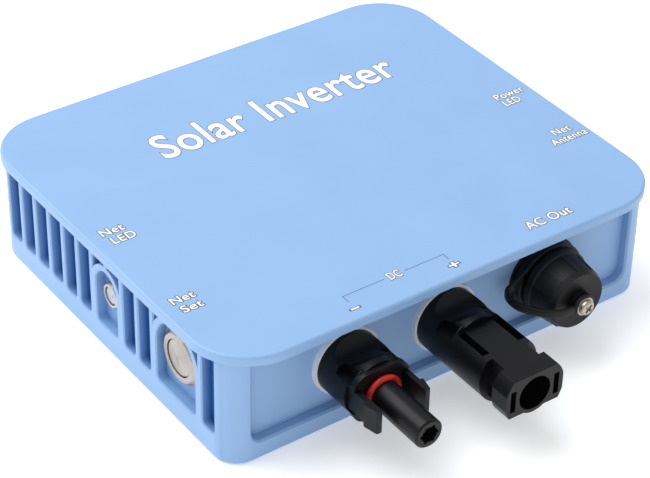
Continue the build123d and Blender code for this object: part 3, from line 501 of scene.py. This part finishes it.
def printWords(words, left, right, baseline, capHeight, bold, border, thickness):
    # stretched so that the bold word fills its width and its capitals their height;
    # border widens it all round, its top stands at thickness and its rim at a share of that
    plain = meshPoints(textMesh(words, bold))
    tall = capHeight / (capShare + 2 * bold)
    wide = (right - left) / (plain[:, 0].max() - plain[:, 0].min())
    reach = bold + border / tall
    mesh = textMesh(words, reach)
    points = meshPoints(mesh)
    middleLine = plain[:, 1].mean() if words in ("+", "-") else -bold
    points[:, 0] = left + (points[:, 0] - plain[:, 0].min()) * wide
    points[:, 1] = baseline + (points[:, 1] - middleLine) * tall
    rise = np.clip(points[:, 2] / reach, -1, 1)
    rim = lettering["rim"]
    points[:, 2] = np.where(rise < -1e-4, 0.0, (rim + (1 - rim) * np.maximum(rise, 0)) * thickness)
    points = points * mm + np.array([0, 0, lidTop])
    mesh.vertices.foreach_set("co", points.ravel())
    return mesh


def joinMeshes(name, meshes, material):
    # several meshes as one piece that rides on the box
    shape = bmesh.new()
    for mesh in meshes:
        shape.from_mesh(mesh)
    bmesh.ops.remove_doubles(shape, verts=shape.verts, dist=1e-6)
    joined = bpy.data.meshes.new(name)
    shape.to_mesh(joined)
    shape.free()
    joined.materials.clear()
    joined.materials.append(material)
    piece = bpy.data.objects.new(name, joined)
    bpy.context.scene.collection.objects.link(piece)
    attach(piece, "box")


def lineMesh(points, width, thickness):
    # a thin band along a bent line, as boxes with square corners
    shape = bmesh.new()
    for (x0, y0), (x1, y1) in zip(points, points[1:]):
        lowX, highX = min(x0, x1) - width / 2, max(x0, x1) + width / 2
        lowY, highY = min(y0, y1) - width / 2, max(y0, y1) + width / 2
        bmesh.ops.create_cube(shape, size=1.0, matrix=Matrix.Translation(
            ((lowX + highX) / 2 * mm, (lowY + highY) / 2 * mm, lidTop + thickness / 2 * mm))
            @ Matrix.Diagonal(((highX - lowX) * mm, (highY - lowY) * mm, thickness * mm, 1)))
    mesh = bpy.data.meshes.new("line")
    shape.to_mesh(mesh)
    shape.free()
    return mesh


def printAll(look):
    for group, border in (("title", look["border"]), ("labels", look["smallBorder"])):
        white, dark = [], []
        for place in look[group]:
            white.append(printWords(*place, 0.0, look["whiteThickness"]))
            dark.append(printWords(*place, border, look["darkThickness"]))
        joinMeshes(group + "_ink_white", white, whiteInk)
        joinMeshes(group + "_ink_border", dark, darkInk)
    bands = [lineMesh(line, look["lineWidth"], look["darkThickness"]) for line in look["lines"]]
    joinMeshes("polarity_line", bands, darkInk)


printAll(lettering)
print("lettering printed")


# swept soft pieces
def gridMesh(name, grid, closedAlong, material):
    # rows of points along a path, each a closed section: neighbours are joined by quads, ends by fans
    rows, around = grid.shape[:2]
    count = rows if closedAlong else rows - 1
    i, j = np.meshgrid(np.arange(count), np.arange(around), indexing="ij")
    nextI, nextJ = (i + 1) % rows, (j + 1) % around
    quads = np.stack([i * around + j, i * around + nextJ, nextI * around + nextJ, nextI * around + j], -1)
    faces = quads.reshape(-1, 4).tolist()
    if not closedAlong:
        faces += [list(range(around))[::-1], list(range((rows - 1) * around, rows * around))]
    mesh = bpy.data.meshes.new(name)
    mesh.from_pydata(grid.reshape(-1, 3).tolist(), [], faces)
    shape = bmesh.new()
    shape.from_mesh(mesh)
    bmesh.ops.recalc_face_normals(shape, faces=shape.faces)
    shape.to_mesh(mesh)
    shape.free()
    mesh.polygons.foreach_set("use_smooth", [True] * len(mesh.polygons))
    mesh.materials.append(material)
    return mesh


def sweep(path, section, upright):
    # section points (across, tall) are laid square to the path; tall follows the upright direction
    path = np.asarray(path, float)
    along = np.gradient(path, axis=0)
    along /= np.linalg.norm(along, axis=1, keepdims=True)
    tall = np.broadcast_to(np.asarray(upright, float), path.shape)
    tall = tall - (tall * along).sum(1, keepdims=True) * along
    tall /= np.linalg.norm(tall, axis=1, keepdims=True)
    across = np.cross(along, tall)
    return path[:, None] + section[None, :, :1] * across[:, None] + section[None, :, 1:] * tall[:, None]


def roundedSection(width, height, corner, steps=4):
    # a rectangle with quarter-circle corners, as (across, tall) points
    quarter = np.linspace(0, pi / 2, steps + 1)
    points = []
    for index, (sx, sy) in enumerate(((1, 1), (-1, 1), (-1, -1), (1, -1))):
        turn = quarter + index * pi / 2
        points.append(np.stack([sx * (width / 2 - corner) + corner * np.cos(turn),
                                sy * (height / 2 - corner) + corner * np.sin(turn)], 1))
    return np.concatenate(points)


def smoothPath(points, steps):
    # a chain of curves through the points, each leaving one point in the line of its two neighbours
    points = np.asarray(points, float)
    ends = np.concatenate([2 * points[:1] - points[1:2], points, 2 * points[-1:] - points[-2:-1]])
    t = np.linspace(0, 1, steps, endpoint=False)[:, None]
    spans = []
    for a, b, c, d in zip(ends, ends[1:], ends[2:], ends[3:]):
        spans.append(0.5 * (2 * b + (c - a) * t + (2 * a - 5 * b + 4 * c - d) * t ** 2
                            + (3 * b - a - 3 * c + d) * t ** 3))
    return np.concatenate(spans + [points[-1:]])


capAxis = middle("ac_cap_screw")
# the band's route in mm: how far left of the cap's axis, how far ahead of the collar, how far above the axis,
# and the height of the section there; the collar's tapered lug comes first
strapLook = {
    "thickness": 1.3 * mm, "corner": 0.35 * mm, "ringRadius": 10.55 * mm, "ringWidth": 2.9 * mm,
    "eyeletRadius": 2.72 * mm, "eyeletWidth": 1.95 * mm, "loopPoints": 72,
    "route": [(9.0, 0, 5.7, 4.1), (11.5, 0, 4.4, 3.6), (14.0, 0, 3.2, 3.1), (16.2, 0, 2.0, 2.7),
              (17.2, 1.2, 1.5, 2.5), (17.7, 3.7, 1.2, 2.5), (17.1, 7.0, 0.9, 2.5), (14.9, 9.9, 0.6, 2.5),
              (11.8, 13.2, 0.3, 2.5), (7.6, 15.3, 0.1, 2.5), (3.4, 0, 0, 2.5)],
}


def loop(radius, width, y, look):
    # a flat band bent to a circle round the cap's axis
    turn = np.linspace(0, 2 * pi, look["loopPoints"], endpoint=False)
    path = np.stack([capAxis.x + radius * np.cos(turn), np.full(len(turn), y),
                     capAxis.z + radius * np.sin(turn)], 1)
    section = roundedSection(width, look["thickness"], look["corner"])
    closed = np.concatenate([path[-1:], path, path[:1]])
    return sweep(closed, section, (0, 1, 0))[1:-1]


def makeStrap(look):
    low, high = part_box("cap_strap")
    ringY = high.y - look["thickness"] / 2
    eyeletY = low.y + look["thickness"] / 2
    route = np.array(look["route"]) * mm
    ahead = ringY - route[:, 1]
    ahead[-1] = eyeletY
    places = np.stack([capAxis.x - route[:, 0], ahead, capAxis.z + route[:, 2], route[:, 3]], 1)
    path = smoothPath(places, 8)
    band = sweep(path[:, :3], roundedSection(look["thickness"], look["thickness"], look["corner"]), (0, 0, 1))
    centre = path[:, None, 2]
    band[:, :, 2] = centre + (band[:, :, 2] - centre) * path[:, None, 3] / look["thickness"]
    meshes = [gridMesh("band", band, False, blackRubber),
              gridMesh("ring", loop(look["ringRadius"], look["ringWidth"], ringY, look), True, blackRubber),
              gridMesh("eyelet", loop(look["eyeletRadius"], look["eyeletWidth"], eyeletY, look), True,
                       blackRubber)]
    shape = bmesh.new()
    for mesh in meshes:
        shape.from_mesh(mesh)
    joined = bpy.data.meshes.new("strap")
    shape.to_mesh(joined)
    shape.free()
    joined.materials.clear()
    joined.materials.append(blackRubber)
    piece = bpy.data.objects.new("cap_strap_band", joined)
    bpy.context.scene.collection.objects.link(piece)
    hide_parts("cap_strap")
    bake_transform(piece)


makeStrap(strapLook)
print("strap made")


# hard-drawn stainless wire, closed at both ends
springLook = {"wire": 0.35 * mm, "radius": 4.6 * mm, "turns": 4.0, "closed": 0.8, "flat": 0.06, "keep": 0.565}


def makeSpring(look):
    low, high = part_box("set_button_spring")
    centre = middle("set_button_spring")
    wire = look["wire"]
    total = look["turns"] + 2 * look["closed"]
    turn = np.linspace(0, total, int(total * 40) + 1)
    # the end turns lie nearly flat and the ones between rise evenly
    rise = np.interp(turn, [0, look["closed"], total - look["closed"], total],
                     [0, look["flat"], 1 - look["flat"], 1])
    angle = 2 * pi * turn
    path = np.stack([high.x - wire - rise * (high.x - low.x - 2 * wire),
                     centre.y + look["radius"] * np.cos(angle), centre.z + look["radius"] * np.sin(angle)], 1)
    around = np.linspace(0, 2 * pi, 12, endpoint=False)
    section = np.stack([wire * np.cos(around), wire * np.sin(around)], 1)
    steel = nodes["set_button_spring"].data.materials[0]
    mesh = gridMesh("spring", sweep(path, section, (1, 0, 0)), False, steel)
    piece = bpy.data.objects.new("set_button_coil", mesh)
    bpy.context.scene.collection.objects.link(piece)
    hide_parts("set_button_spring")
    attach(piece, "box")
    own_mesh(piece)


makeSpring(springLook)
print("spring made")


# floor and light
def makeFloor(size, glow):
    # a white sheet on a table lit a little from below
    shape = bpy.data.meshes.new("floor")
    half = size / 2
    corners = [(-half, -half, 0), (half, -half, 0), (half, half, 0), (-half, half, 0)]
    shape.from_pydata(corners, [], [(0, 1, 2, 3)])
    floor = bpy.data.objects.new("floor", shape)
    bpy.context.scene.collection.objects.link(floor)
    floor.location.z = -0.2 * mm
    look = {"light": "#f7f7f7", "dark": "#f5f5f5", "patch": 60.0, "grain": 1.0, "smooth": 0.75, "rough": 0.85,
            "relief": 0.0, "depth": 0.01}
    paper, _, shader = mottledFinish("paperWhite", look)
    shader.inputs["Emission Color"].default_value = linear("#ffffff")
    shader.inputs["Emission Strength"].default_value = glow
    shape.materials.append(paper)


def makeLight(name, position, target, size, power, colour):
    data = bpy.data.lights.new(name, "AREA")
    data.shape = "DISK"
    data.size = size
    data.energy = power
    data.color = linear(colour)[:3]
    light = bpy.data.objects.new(name, data)
    bpy.context.scene.collection.objects.link(light)
    light.location = position
    light.rotation_mode = "QUATERNION"
    light.rotation_quaternion = (Vector(target) - Vector(position)).to_track_quat("-Z", "Y")


# metres and watts, and the strengths of the sky and of the table's own light
studio = {"sky": 0.66, "tableSize": 6.0, "tableGlow": 0.33,
          "keyPower": 21.0, "keySize": 1.5, "keyPlace": (-0.45, 0.6, 1.3),
          "fillPower": 0.3, "fillSize": 1.2, "fillPlace": (-0.5, -1.1, 0.7)}


def makeStudio(look):
    world = bpy.data.worlds.new("studio")
    bpy.context.scene.world = world
    world.use_nodes = True
    background = world.node_tree.nodes["Background"]
    background.inputs["Color"].default_value = linear("#ffffff")
    background.inputs["Strength"].default_value = look["sky"]
    makeFloor(look["tableSize"], look["tableGlow"])
    makeLight("key", look["keyPlace"], (0, 0, 0), look["keySize"], look["keyPower"], "#ffffff")
    makeLight("fill", look["fillPlace"], (0, 0, 0), look["fillSize"], look["fillPower"], "#ffffff")
    bpy.context.scene.view_settings.view_transform = "Standard"


makeStudio(studio)
print("studio lit")
